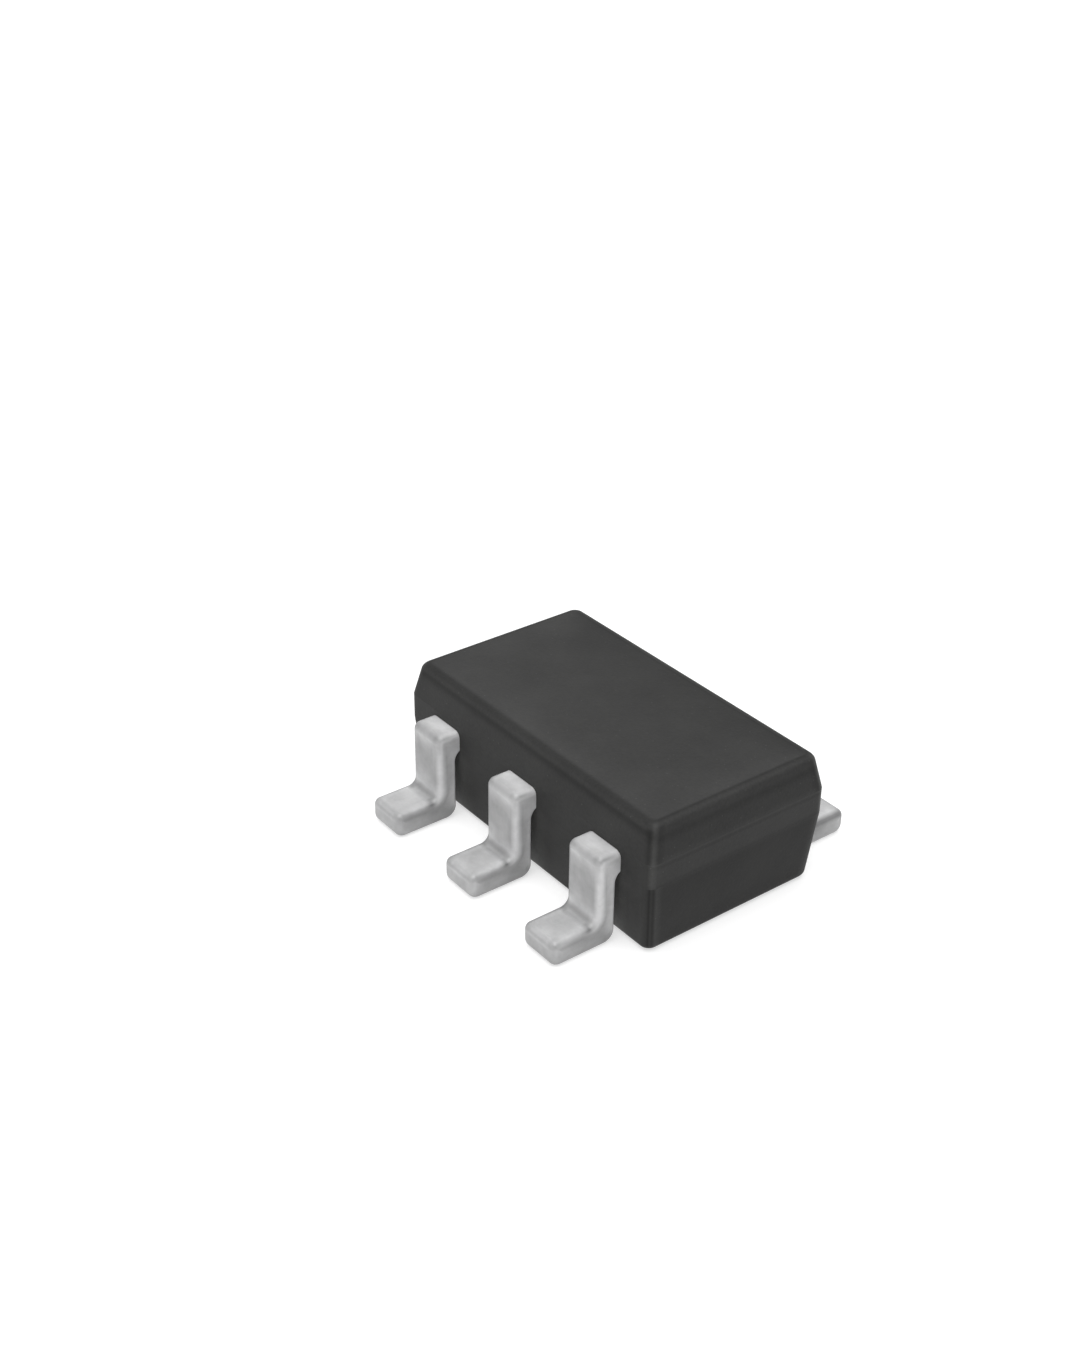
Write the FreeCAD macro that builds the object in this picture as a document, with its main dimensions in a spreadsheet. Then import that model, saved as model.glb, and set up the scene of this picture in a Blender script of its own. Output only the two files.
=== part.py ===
import FreeCAD, Part
import math
import os
import re
import Sketcher
from FreeCAD import Placement, Rotation, Vector

# Operational amplifier chip in a five-lead small outline package, in millimetres and degrees.
# Z 0 is the plane that the feet stand on, X runs along the body, and the three-lead side faces -Y.
# The body is moulded round a stamped lead frame. The frame's upper and lower faces are flat, and only
# the die pad is pressed down out of them, so that the die and its wires end up near the body's middle.

doc = FreeCAD.newDocument("Amplifier")
sheet = doc.addObject("Spreadsheet::Sheet", "Sizes")

driving = {
    # moulded body
    "bodyLength": 2.86,  # along X, over the straight band at the parting plane
    "bodyWidth": 1.635,  # along Y, over the same band
    "standoff": 0.02,  # underside above the feet
    "lowerHeight": 0.565,  # underside to the band, where the leads' lower faces lie
    "bandRise": 0.045,  # band above the leads' upper faces
    "upperHeight": 0.275,  # band to the top
    "lowerDraft": 6,
    "upperDraft": 11.5,
    "cornerRadius": 0.075,
    "topRadius": 0.065,
    # leads outside the body
    "leadPitch": 0.95,
    "leadWidth": 0.355,
    "leadThickness": 0.155,
    "footThickness": 0.215,
    "legGap": 0.0355,  # body's wall to the leg
    "footReach": 0.377,  # leg's outer face to the foot's tip
    "shoulderRadius": 0.06,  # outside of the upper bend
    "armpitRadius": 0.06,  # inside of the upper bend
    "instepRadius": 0.06,  # inside of the lower bend
    "heelRadius": 0.09,  # outside of the lower bend
    "tipRadius": 0.05,
    "toeRadius": 0.05,
    "leadEdgeBevel": 0.035,  # all round the outer lead's two side faces
    # leads inside the body
    "rootDepth": 0.1,  # wall to where the flat finger starts
    "rootLap": 0.05,  # outer lead's length inside the finger
    "notchDepth": 0.06,
    "notchStart": 0.18,  # wall to the lock notches
    "notchLength": 0.12,
    "fingerGap": 0.13,  # finger to die pad
    "tipGap": 0.2,  # between two fingers that face each other
    "downset": 0.14,  # die pad's face below the fingers'
    "downsetSlope": 45,
    # die
    "dieLength": 0.8,
    "dieWidth": 0.6,
    "dieThickness": 0.18,
    "attachThickness": 0.02,
    "attachMargin": 0.03,  # adhesive squeezed out round the die
    "padMargin": 0.11,  # die pad past the die
    "padCornerRadius": 0.06,
    # bond wires
    "wireDiameter": 0.025,
    "ballDiameter": 0.07,
    "ballHeight": 0.024,
    "loopHeight": 0.11,  # wire's centre line above the die at its highest
    "loopKnee": 0.045,
    "stitchLength": 0.09,
    "stitchWidth": 0.06,
    "stitchHeight": 0.018,
    "bondInset": 0.08,  # ball's centre inside the die's edges
    "stitchInset": 0.1,  # stitch's centre inside the finger's long edge
    "stitchBack": 0.14,  # stitch's centre behind the finger's end
    "stitchDepth": 0.13,  # wall to the stitch on the die pad's own lead
}

# Levels and places that follow from the driving sizes
derived = {
    "wall": "bodyWidth / 2",
    "leadLow": "standoff + lowerHeight",
    "leadHigh": "leadLow + leadThickness",
    "bandHigh": "leadHigh + bandRise",
    "bodyHigh": "bandHigh + upperHeight",
    "lowerInset": "lowerHeight * tan(lowerDraft)",
    "upperInset": "upperHeight * tan(upperDraft)",
    "legBack": "wall + legGap",
    "legFront": "legBack + leadThickness",
    "tip": "legFront + footReach",
    "padHigh": "leadHigh - downset",
    "padLow": "padHigh - leadThickness",
    "padLength": "dieLength + 2 * padMargin",
    "padWidth": "dieWidth + 2 * padMargin",
    "slopeRun": "downset / tan(downsetSlope)",
    "slopeShift": "leadThickness * tan(downsetSlope / 2)",
    "fingerEdge": "padLength / 2 + fingerGap",
    "attachHigh": "padHigh + attachThickness",
    "dieHigh": "attachHigh + dieThickness",
    "ballX": "dieLength / 2 - bondInset",
    "ballY": "dieWidth / 2 - bondInset",
    "stitchX": "fingerEdge + stitchInset",
    "stitchY": "tipGap / 2 + stitchBack",
}

row = 1
for alias, size in driving.items():
    sheet.set(f"A{row}", alias)
    sheet.set(f"B{row}", str(size))
    sheet.setAlias(f"B{row}", alias)
    row += 1
for alias, formula in derived.items():
    sheet.set(f"A{row}", alias)
    sheet.set(f"B{row}", "=" + formula)
    sheet.setAlias(f"B{row}", alias)
    row += 1
doc.recompute()

ORIGIN = (-1, 1)  # the point at 0, 0 of a sketch
START, END, CENTRE = 1, 2, 3
SAME_LEVEL = 0.001  # how closely two heights must agree to be one level


def cells(expression):
    # the same expression with every alias written as a cell of the sheet
    return re.sub(r"[A-Za-z]+", lambda word: "Sizes." + word[0] if word[0] in driving or word[0] in derived
                  else word[0], expression)


def value(expression):
    return float(sheet.evalExpression(cells(expression)))


def bind(thing, path, expression):
    thing.setExpression(path, cells(expression))


def newBody(label):
    body = doc.addObject("PartDesign::Body", label)
    body.Label = label
    return body


def newSketch(body, name, role, level=None):
    sketch = body.newObject("Sketcher::SketchObject", name)
    plane = next(f for f in body.Origin.OriginFeatures if f.Role == role)
    sketch.AttachmentSupport = [(plane, "")]
    sketch.MapMode = "FlatFace"
    if level:
        bind(sketch, "AttachmentOffset.Base.z", level)
    return sketch


def dimension(sketch, kind, first, second, name, expression):
    number = sketch.addConstraint(Sketcher.Constraint(kind, *first, *second, value(expression)))
    sketch.renameConstraint(number, name)
    bind(sketch, f"Constraints.{name}", expression)


def radius(sketch, arc, name, expression):
    number = sketch.addConstraint(Sketcher.Constraint("Radius", arc, value(expression)))
    sketch.renameConstraint(number, name)
    bind(sketch, f"Constraints.{name}", expression)


def place(sketch, point, name, x, y):
    # holds one point of the sketch at x, y from the origin
    dimension(sketch, "DistanceX", ORIGIN, point, f"{name}X", x)
    dimension(sketch, "DistanceY", ORIGIN, point, f"{name}Y", y)


def line(sketch, start, end):
    return sketch.addGeometry(Part.LineSegment(Vector(*start, 0), Vector(*end, 0)))


def arc(sketch, centre, size, fromAngle, toAngle):
    circle = Part.Circle(Vector(*centre, 0), Vector(0, 0, 1), size)
    return sketch.addGeometry(Part.ArcOfCircle(circle, math.radians(fromAngle), math.radians(toAngle)))


def tangent(sketch, first, second):
    sketch.addConstraint(Sketcher.Constraint("Tangent", *first, *second))


def polyline(sketch, corners, closed=False):
    points = [(value(x), value(y)) for x, y in corners]
    ends = points[1:] + points[:1] if closed else points[1:]
    edges = [line(sketch, a, b) for a, b in zip(points, ends)]
    joints = zip(edges, edges[1:] + edges[:1] if closed else edges[1:])
    for edge, following in joints:
        sketch.addConstraint(Sketcher.Constraint("Coincident", edge, END, following, START))
    held = [(edge, START) for edge in edges]
    if not closed:
        held.append((edges[-1], END))
    for number, (point, (x, y)) in enumerate(zip(held, corners)):
        place(sketch, point, f"corner{number}", x, y)


def rectangle(sketch, length, width):
    left, right, low, high = f"-{length} / 2", f"{length} / 2", f"-{width} / 2", f"{width} / 2"
    polyline(sketch, [(left, low), (right, low), (right, high), (left, high)], closed=True)


def roundedRectangle(sketch, length, width, corner):
    # four corner arcs, held at their centres, and the lines that run tangent between them
    x, y = f"(({length}) / 2 - {corner})", f"(({width}) / 2 - {corner})"
    centres = [(x, y), ("-" + x, y), ("-" + x, "-" + y), (x, "-" + y)]
    arcs = [arc(sketch, (value(cx), value(cy)), value(corner), 90 * i, 90 * i + 90)
            for i, (cx, cy) in enumerate(centres)]
    for here, following in zip(arcs, arcs[1:] + arcs[:1]):
        side = line(sketch, sketch.getPoint(here, END)[:2], sketch.getPoint(following, START)[:2])
        tangent(sketch, (here, END), (side, START))
        tangent(sketch, (side, END), (following, START))
    for i, (cx, cy) in enumerate(centres):
        place(sketch, (arcs[i], CENTRE), f"centre{i}", cx, cy)
        radius(sketch, arcs[i], f"radius{i}", corner)


def pad(body, sketch, name, length, middle=False):
    feature = body.newObject("PartDesign::Pad", name)
    feature.Profile = sketch
    if middle:
        feature.SideType = "Symmetric"
    bind(feature, "Length", length)
    return feature


def loft(body, first, second, name):
    feature = body.newObject("PartDesign::AdditiveLoft", name)
    feature.Profile = first
    feature.Sections = [second]
    feature.Ruled = True
    return feature


def pipe(body, profile, spine, name):
    feature = body.newObject("PartDesign::AdditivePipe", name)
    feature.Profile = profile
    feature.Spine = (spine, [f"Edge{i + 1}" for i in range(spine.GeometryCount)])
    feature.Transition = "Right corner"


def breakEdges(body, base, kind, name, size, chosen):
    # rounds off or bevels the edges of base for which chosen(edge) is true
    doc.recompute()
    names = [f"Edge{i + 1}" for i, edge in enumerate(base.Shape.Edges) if chosen(edge)]
    feature = body.newObject("PartDesign::" + kind, name)
    feature.Base = (base, names)
    bind(feature, "Radius" if kind == "Fillet" else "Size", size)


def same(a, b):
    return abs(a - b) < SAME_LEVEL


# The form that the mould gives the body: a straight band at the parting plane, a drafted half below it
# and another above it, with one corner radius all the way up
def makeMouldForm():
    body = newBody("mouldForm")
    outlines = {}
    for name, level, inset in (("Underside", "standoff", "lowerInset"), ("BandLow", "leadLow", "0"),
                               ("BandHigh", "bandHigh", "0"), ("Top", "bodyHigh", "upperInset")):
        outlines[name] = newSketch(body, name, "XY_Plane", level)
        length, width = f"bodyLength - 2 * {inset}", f"bodyWidth - 2 * {inset}"
        roundedRectangle(outlines[name], length, width, "cornerRadius")
    loft(body, outlines["BandLow"], outlines["BandHigh"], "Band")
    loft(body, outlines["BandLow"], outlines["Underside"], "LowerHalf")
    upper = loft(body, outlines["BandHigh"], outlines["Top"], "UpperHalf")
    breakEdges(body, upper, "Fillet", "TopEdge", "min(topRadius; 0.9 * cornerRadius)",
               lambda edge: all(same(v.Z, value("bodyHigh")) for v in edge.Vertexes))
    return body


# The part of a lead that shows: shoulder, leg and foot, drawn from the side and thickened to both sides.
# Every lead is made at X 0 on the -Y side and then placed.
def addGullWing(body, root):
    side = newSketch(body, "GullWingSide", "YZ_Plane")
    # name, the corner that the bend rounds off, the way from it to the arc's centre, the angle at which
    # the arc starts, and its ends in the order in which the outline runs through them
    bends = [
        ("shoulder", "legFront", "leadHigh", "+", "-", 90, (START, END)),
        ("instep", "legFront", "footThickness", "-", "+", 270, (END, START)),
        ("tip", "tip", "footThickness", "+", "-", 90, (START, END)),
        ("toe", "tip", "0", "+", "+", 180, (START, END)),
        ("heel", "legBack", "0", "-", "+", 270, (START, END)),
        ("armpit", "legBack", "leadLow", "+", "-", 90, (END, START)),
    ]
    joints = []
    for name, cornerY, cornerZ, wayY, wayZ, angle, ends in bends:
        size = f"{name}Radius"
        y, z = f"-{cornerY} {wayY} {size}", f"{cornerZ} {wayZ} {size}"
        bend = arc(side, (value(y), value(z)), value(size), angle, angle + 90)
        place(side, (bend, CENTRE), name, y, z)
        radius(side, bend, f"{name}Bend", size)
        joints.append([(bend, end) for end in ends])
    for (_, here), (following, _) in zip(joints, joints[1:]):
        straight = line(side, side.getPoint(*here)[:2], side.getPoint(*following)[:2])
        tangent(side, here, (straight, START))
        tangent(side, (straight, END), following)
    upper = line(side, (-value(root), value("leadHigh")), side.getPoint(*joints[0][0])[:2])
    tangent(side, (upper, END), joints[0][0])
    lower = line(side, side.getPoint(*joints[-1][1])[:2], (-value(root), value("leadLow")))
    tangent(side, joints[-1][1], (lower, START))
    place(side, (upper, START), "rootHigh", f"-({root})", "leadHigh")
    place(side, (lower, END), "rootLow", f"-({root})", "leadLow")
    cut = line(side, side.getPoint(lower, END)[:2], side.getPoint(upper, START)[:2])
    side.addConstraint(Sketcher.Constraint("Coincident", lower, END, cut, START))
    side.addConstraint(Sketcher.Constraint("Coincident", cut, END, upper, START))
    wing = pad(body, side, "GullWing", "leadWidth", middle=True)
    breakEdges(body, wing, "Chamfer", "LeadEdges", "min(leadEdgeBevel; 0.9 * tipRadius)",
               lambda edge: all(same(abs(v.X), value("leadWidth / 2")) for v in edge.Vertexes)
               and not all(same(v.Y, -value(root)) for v in edge.Vertexes))


# A lead whose inner finger ends beside the die pad. Its two notches key it into the moulding, and its
# end is wider on the side towards the package's middle, where the wire lands.
def makeFingerLead(label, towardsMiddle):
    body = newBody(label)
    addGullWing(body, "wall - rootDepth - rootLap")
    outer, inner = f"{-towardsMiddle} * leadWidth / 2", f"{towardsMiddle} * leadWidth / 2"
    outerNotch = f"{-towardsMiddle} * (leadWidth / 2 - notchDepth)"
    innerNotch = f"{towardsMiddle} * (leadWidth / 2 - notchDepth)"
    reach = f"{towardsMiddle} * (leadPitch - fingerEdge)"
    notchOut, notchIn = "notchStart - wall", "notchStart + notchLength - wall"
    outline = newSketch(body, "FingerOutline", "XY_Plane", "leadLow")
    polyline(outline, [
        (outer, "rootDepth - wall"), (inner, "rootDepth - wall"),
        (inner, notchOut), (innerNotch, notchOut), (innerNotch, notchIn), (reach, notchIn),
        (reach, "-tipGap / 2"), (outer, "-tipGap / 2"),
        (outer, notchIn), (outerNotch, notchIn), (outerNotch, notchOut), (outer, notchOut),
    ], closed=True)
    pad(body, outline, "Finger", "leadThickness")
    return body


# The middle lead of the three, in one piece with the die pad. Its neck slopes down to the pad.
def makePadLead(label):
    body = newBody(label)
    addGullWing(body, "wall - rootDepth - rootLap")
    side = newSketch(body, "NeckSide", "YZ_Plane")
    polyline(side, [
        ("rootDepth - wall", "leadHigh"), ("rootDepth - wall", "leadLow"),
        ("-padWidth / 2 - slopeRun - slopeShift", "leadLow"), ("-padWidth / 2 - slopeShift", "padLow"),
        ("-dieWidth / 2", "padLow"), ("-dieWidth / 2", "padHigh"),
        ("-padWidth / 2", "padHigh"), ("-padWidth / 2 - slopeRun", "leadHigh"),
    ], closed=True)
    pad(body, side, "Neck", "leadWidth", middle=True)
    plate = newSketch(body, "PadOutline", "XY_Plane", "padLow")
    roundedRectangle(plate, "padLength", "padWidth", "padCornerRadius")
    pad(body, plate, "DiePad", "leadThickness")
    return body


def makeDie():
    body = newBody("die")
    outline = newSketch(body, "DieOutline", "XY_Plane", "attachHigh")
    rectangle(outline, "dieLength", "dieWidth")
    pad(body, outline, "Die", "dieThickness")
    return body


def makeDieAttach():
    body = newBody("die_attach")
    outline = newSketch(body, "FilmOutline", "XY_Plane", "padHigh")
    length, width = "dieLength + 2 * attachMargin", "dieWidth + 2 * attachMargin"
    roundedRectangle(outline, length, width, "attachMargin")
    pad(body, outline, "Film", "attachThickness")
    return body


# A bond wire, made with its ball at the origin on the die's level and its stitch on +X. The ball is pressed
# flat. The wire rises from it, turns over in a knee and runs straight down to the stitch, where it is
# pressed out into the shape of a fish's tail.
def makeBondWire(label, run):
    body = newBody(label)
    ball = newSketch(body, "BallSide", "XZ_Plane")
    polyline(ball, [("0", "0"), ("ballDiameter / 2", "0"), ("ballDiameter / 2", "ballHeight"),
                    ("0", "ballHeight")], closed=True)
    revolution = body.newObject("PartDesign::Revolution", "Ball")
    revolution.Profile = ball
    revolution.ReferenceAxis = (ball, ["V_Axis"])
    revolution.Angle = 360

    route = newSketch(body, "WireRoute", "XZ_Plane")
    polyline(route, [("0", "ballHeight / 2"), ("0", "loopHeight - loopKnee"), ("loopKnee", "loopHeight"),
                     (run, "leadHigh - dieHigh + wireDiameter / 2")])
    section = newSketch(body, "WireSection", "XY_Plane", "ballHeight / 2")
    circle = section.addGeometry(Part.Circle(Vector(0, 0, 0), Vector(0, 0, 1), value("wireDiameter / 2")))
    section.addConstraint(Sketcher.Constraint("Coincident", circle, CENTRE, *ORIGIN))
    radius(section, circle, "wireRadius", "wireDiameter / 2")
    pipe(body, section, route, "Wire")

    tail = newSketch(body, "StitchOutline", "XY_Plane", "leadHigh - dieHigh")
    back, front = f"{run} - stitchLength / 2", f"{run} + stitchLength / 2"
    polyline(tail, [(back, "-wireDiameter / 2"), (front, "-stitchWidth / 2"), (front, "stitchWidth / 2"),
                    (back, "wireDiameter / 2")], closed=True)
    pad(body, tail, "Stitch", "stitchHeight")
    return body


def settle(body, x, y, z, turn):
    # puts a body in its place, turned about the vertical axis
    body.Placement = Placement(Vector(0, 0, 0), Rotation(Vector(0, 0, 1), 1))
    bind(body, "Placement.Base.x", x)
    bind(body, "Placement.Base.y", y)
    bind(body, "Placement.Base.z", z)
    bind(body, "Placement.Rotation.Angle", turn)


mouldForm = makeMouldForm()

# name, side of X 0, side of Y 0
corners = [("1", -1, -1), ("3", 1, -1), ("4", 1, 1), ("5", -1, 1)]
inside = []
for number, sideX, sideY in corners:
    lead = makeFingerLead(f"lead_{number}", sideX * sideY)
    settle(lead, f"{sideX} * leadPitch", "0", "0", "0" if sideY < 0 else "180")
    inside.append(lead)
padLead = makePadLead("lead_2_die_pad")
inside += [padLead, makeDieAttach(), makeDie()]

wireRun = "sqrt((stitchX - ballX) ^ 2 + (stitchY - ballY) ^ 2)"
for number, sideX, sideY in corners:
    wire = makeBondWire(f"bond_wire_{number}", wireRun)
    heading = f"atan2({sideY} * (stitchY - ballY); {sideX} * (stitchX - ballX))"
    settle(wire, f"{sideX} * ballX", f"{sideY} * ballY", "dieHigh", heading)
    inside.append(wire)
middleWire = makeBondWire("bond_wire_2", "wall - stitchDepth - ballY")
settle(middleWire, "0", "-ballY", "dieHigh", "-90")
inside.append(middleWire)
doc.recompute()

# The moulding compound fills its form round everything that it seals in
filling = doc.addObject("Part::MultiFuse", "SealedIn")
filling.Shapes = inside
mould = doc.addObject("Part::Cut", "mould_body")
mould.Label = "mould_body"
mould.Base = mouldForm
mould.Tool = filling
doc.recompute()

parts = [mould] + inside
for thing in doc.Objects:
    if "Invalid" in thing.State or "Error" in thing.State:
        raise RuntimeError(f"{thing.Label} failed: {thing.State}")
for thing in parts:
    if thing.Shape.isNull() or not thing.Shape.isValid():
        raise RuntimeError(f"{thing.Label} has no valid shape")

os.makedirs("parts", exist_ok=True)
for thing in parts:
    thing.Shape.exportStep(f"parts/{thing.Label}.step")
    solids = len(thing.Shape.Solids)
    print(f"{thing.Label}: {solids} solid, {thing.Shape.Volume:.6f} mm3")
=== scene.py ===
import bmesh
import bpy
import math
from mathutils import Matrix, Vector


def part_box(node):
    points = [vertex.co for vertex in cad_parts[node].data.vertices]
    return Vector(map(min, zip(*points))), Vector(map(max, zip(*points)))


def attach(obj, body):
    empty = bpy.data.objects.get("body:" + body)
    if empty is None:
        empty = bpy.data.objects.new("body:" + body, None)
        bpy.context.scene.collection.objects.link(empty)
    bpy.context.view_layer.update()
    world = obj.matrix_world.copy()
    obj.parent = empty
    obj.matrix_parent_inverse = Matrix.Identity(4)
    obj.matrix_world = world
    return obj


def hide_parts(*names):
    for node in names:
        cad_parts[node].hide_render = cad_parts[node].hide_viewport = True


# A five-lead amplifier chip, 2.86 mm long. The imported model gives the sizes, this script gives the finish.
# Sizes are in mm, and mm turns them into metres.
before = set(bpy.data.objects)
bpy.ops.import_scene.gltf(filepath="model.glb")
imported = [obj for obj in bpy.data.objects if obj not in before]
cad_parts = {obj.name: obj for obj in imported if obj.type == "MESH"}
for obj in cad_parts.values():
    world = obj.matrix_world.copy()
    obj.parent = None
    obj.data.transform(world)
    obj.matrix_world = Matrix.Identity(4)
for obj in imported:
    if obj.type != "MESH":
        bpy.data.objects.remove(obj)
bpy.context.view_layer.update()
mm = 0.001

# X of each lead, by the side of Y 0 that its row is on
leadPitch = 0.95
leadRows = {-1: (-leadPitch, 0, leadPitch), 1: (-leadPitch, leadPitch)}

# where the photographer stood, in mm and degrees
camera = {
    "azimuth": 52.479,
    "elevation": 30.170,
    "roll": 0.603,
    "distance": 13.881,
    "lens": 49.727,
    "aimHeight": 0.6,
    "slideRight": -0.516,
    "slideUp": 0.622,
    "nearest": 1,
    "farthest": 2000,
}


def outwards(azimuth, elevation):
    # the direction from the chip to a camera or a lamp
    turn, lift = math.radians(azimuth), math.radians(elevation)
    return Vector((math.sin(turn) * math.cos(lift), -math.cos(turn) * math.cos(lift), math.sin(lift)))


def makeCamera():
    turn, roll = math.radians(camera["azimuth"]), math.radians(camera["roll"])
    back = outwards(camera["azimuth"], camera["elevation"])
    levelRight = Vector((math.cos(turn), math.sin(turn), 0))
    levelUp = back.cross(levelRight)
    right = levelRight * math.cos(roll) + levelUp * math.sin(roll)
    up = levelUp * math.cos(roll) - levelRight * math.sin(roll)
    aim = Vector((0, 0, camera["aimHeight"])) + right * camera["slideRight"] + up * camera["slideUp"]
    eye = (aim + back * camera["distance"]) * mm
    lens = bpy.data.cameras.new("photoCamera")
    lens.lens = camera["lens"]
    lens.clip_start = camera["nearest"] * mm
    lens.clip_end = camera["farthest"] * mm
    holder = bpy.data.objects.new("photoCamera", lens)
    holder.matrix_world = Matrix((
        (right.x, up.x, back.x, eye.x),
        (right.y, up.y, back.y, eye.y),
        (right.z, up.z, back.z, eye.z),
        (0, 0, 0, 1)))
    bpy.context.scene.collection.objects.link(holder)
    bpy.context.scene.camera = holder


makeCamera()
print("camera is in place")


# small helpers for materials

def newMaterial(name, plain):
    made = bpy.data.materials.new(name)
    made.use_nodes = True
    shader = made.node_tree.nodes["Principled BSDF"]
    for socket, value in plain.items():
        shader.inputs[socket].default_value = value
    return made, shader


def addNode(made, kind, feeds=None, **settings):
    # feeds maps a socket's name or number to a value, or to the output that it is wired to
    node = made.node_tree.nodes.new("ShaderNode" + kind)
    for name, value in settings.items():
        setattr(node, name, value)
    for socket, value in (feeds or {}).items():
        if isinstance(value, bpy.types.NodeSocket):
            made.node_tree.links.new(value, node.inputs[socket])
        else:
            node.inputs[socket].default_value = value
    return node


def wire(made, output, shader, socket):
    made.node_tree.links.new(output, shader.inputs[socket])


def combine(made, how, first, second):
    return addNode(made, "Math", {0: first, 1: second}, operation=how).outputs[0]


def mixed(made, share, below, above):
    # inputs 6 and 7 and output 2 are the node's colours
    return addNode(made, "Mix", {0: share, 6: below, 7: (*above, 1)}, data_type="RGBA").outputs[2]


def ramp(made, source, stops):
    node = addNode(made, "ValToRGB", {"Fac": source})
    points = node.color_ramp.elements
    while len(points) < len(stops):
        points.new(0.5)
    for point, (place, tone) in zip(points, stops):
        point.position = place
        point.color = (*tone, 1)
    return node.outputs["Color"]


def remap(made, source, low, high):
    return addNode(made, "MapRange", {"Value": source, "To Min": low, "To Max": high}).outputs["Result"]


def noise(made, place, perMm, detail=3, roughness=0.55):
    feeds = {"Vector": place, "Scale": perMm / mm, "Detail": detail, "Roughness": roughness}
    return addNode(made, "TexNoise", feeds).outputs["Fac"]


def stretched(made, place, stretch):
    return addNode(made, "Mapping", {"Vector": place, "Scale": stretch}).outputs["Vector"]


def bump(made, height, depth, below=None):
    # depth is the height's full swing
    feeds = {"Height": height, "Distance": depth * mm}
    if below:
        feeds["Normal"] = below
    return addNode(made, "Bump", feeds).outputs["Normal"]


def objectPlace(made):
    return addNode(made, "TexCoord").outputs["Object"]


def paintedLightTone(made):
    # painted highlights and painted shade that the mesh carries over its edges and faces, a factor on the
    # colour, 1 where nothing is painted
    return addNode(made, "Attribute", attribute_name="paintedLightTone").outputs["Fac"]


def toned(made, colour, tone):
    return addNode(made, "VectorMath", {0: colour, "Scale": tone}, operation="SCALE").outputs["Vector"]


def seenDirectly(made):
    # 1 for what the camera sees straight or in a reflection, 0 for the light that falls on other things
    path = addNode(made, "LightPath")
    seen = combine(made, "MAXIMUM", path.outputs["Is Camera Ray"], path.outputs["Is Glossy Ray"])
    return combine(made, "MAXIMUM", seen, path.outputs["Is Transmission Ray"])


# the moulding compound: a matte black epoxy with fine mineral filler
mouldFinish = {
    "stops": [(0.36, (0.0165, 0.0165, 0.0162)), (0.64, (0.0315, 0.0315, 0.0305))],
    "filler": (0.048, 0.048, 0.047),
    "grain": (42, 4, 0.65),  # this and the other noises: features per mm, detail, roughness
    "cloud": (1.8, 5, 0.6),
    "waves": (3.2, 2),
    "fillerPerMm": 30,
    "fillerSize": 0.2,
    "fillerCore": 0.4,  # share of a filler grain's size that is full
    "fillerShare": 0.25,  # share of the grains that lie bare
    "grainDepth": 0.0016,
    "waveDepth": 0.003,
    "roughLow": 0.55,
    "roughHigh": 0.7,
    "sheen": 0.3,
    "ior": 1.5,
}


def makeMouldMaterial():
    f = mouldFinish
    made, shader = newMaterial("mouldCompound", {"IOR": f["ior"]})
    place = objectPlace(made)
    grain = noise(made, place, *f["grain"])
    cloud = noise(made, place, *f["cloud"])
    blend = combine(made, "MULTIPLY", combine(made, "ADD", grain, cloud), 0.5)
    tone = ramp(made, blend, f["stops"])
    cells = addNode(made, "TexVoronoi", {"Vector": place, "Scale": f["fillerPerMm"] / mm})
    near = ramp(made, cells.outputs["Distance"],
                [(f["fillerSize"] * f["fillerCore"], (1, 1, 1)), (f["fillerSize"], (0, 0, 0))])
    bare = combine(made, "LESS_THAN", cells.outputs["Color"], f["fillerShare"])
    speckled = mixed(made, combine(made, "MULTIPLY", near, bare), tone, f["filler"])
    # painted highlights and painted shade carried by the mesh scale the base colour and the specular level
    edges = paintedLightTone(made)
    wire(made, toned(made, speckled, edges), shader, "Base Color")
    wire(made, combine(made, "MULTIPLY", edges, f["sheen"]), shader, "Specular IOR Level")
    wire(made, remap(made, grain, f["roughLow"], f["roughHigh"]), shader, "Roughness")
    waves = bump(made, noise(made, place, *f["waves"]), f["waveDepth"])
    wire(made, bump(made, grain, f["grainDepth"], waves), shader, "Normal")
    return made


# matte tin over the stamped copper alloy
tinFinish = {
    "stops": [(0.3, (0.415, 0.415, 0.419)), (0.7, (0.545, 0.546, 0.549))],
    "metal": 0.25,
    "grain": (55, 3, 0.6),
    "cloud": (5, 4, 0.6),
    "streaks": (14, 4, 0.6),
    "streakStretch": (6, 1, 1),
    "mottle": (17, 3),
    "mottleTones": (0.9, 1.1),
    "grainDepth": 0.0012,
    "streakDepth": 0.0012,
    "roughLow": 0.42,
    "roughHigh": 0.55,
}


def makeTinMaterial():
    f = tinFinish
    made, shader = newMaterial("matteTin", {"Metallic": f["metal"]})
    place = objectPlace(made)
    grain = noise(made, place, *f["grain"])
    cloud = noise(made, place, *f["cloud"])
    streaks = noise(made, stretched(made, place, f["streakStretch"]), *f["streaks"])
    tone = ramp(made, cloud, f["stops"])
    mottled = toned(made, tone, remap(made, noise(made, place, *f["mottle"]), *f["mottleTones"]))
    # painted highlights and painted shade carried by the mesh scale the tin's colour
    wire(made, toned(made, mottled, paintedLightTone(made)), shader, "Base Color")
    wire(made, remap(made, cloud, f["roughHigh"], f["roughLow"]), shader, "Roughness")
    scored = bump(made, streaks, f["streakDepth"])
    wire(made, bump(made, grain, f["grainDepth"], scored), shader, "Normal")
    return made


# the sealed die: rows of metal tracks over polished silicon
siliconFinish = {
    "stops": [(0.3, (0.045, 0.05, 0.065)), (0.7, (0.09, 0.095, 0.12))],
    "ground": (9, 4),
    "tracks": (0.30, 0.27, 0.20),
    "trackPerMm": 22,
    "trackWidth": 0.12,
    "trackHeight": 0.002,
    "rough": (30, 3),
    "roughLow": 0.15,
    "roughHigh": 0.3,
    "ior": 3.4,
    "coat": 0.3,
}


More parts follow.
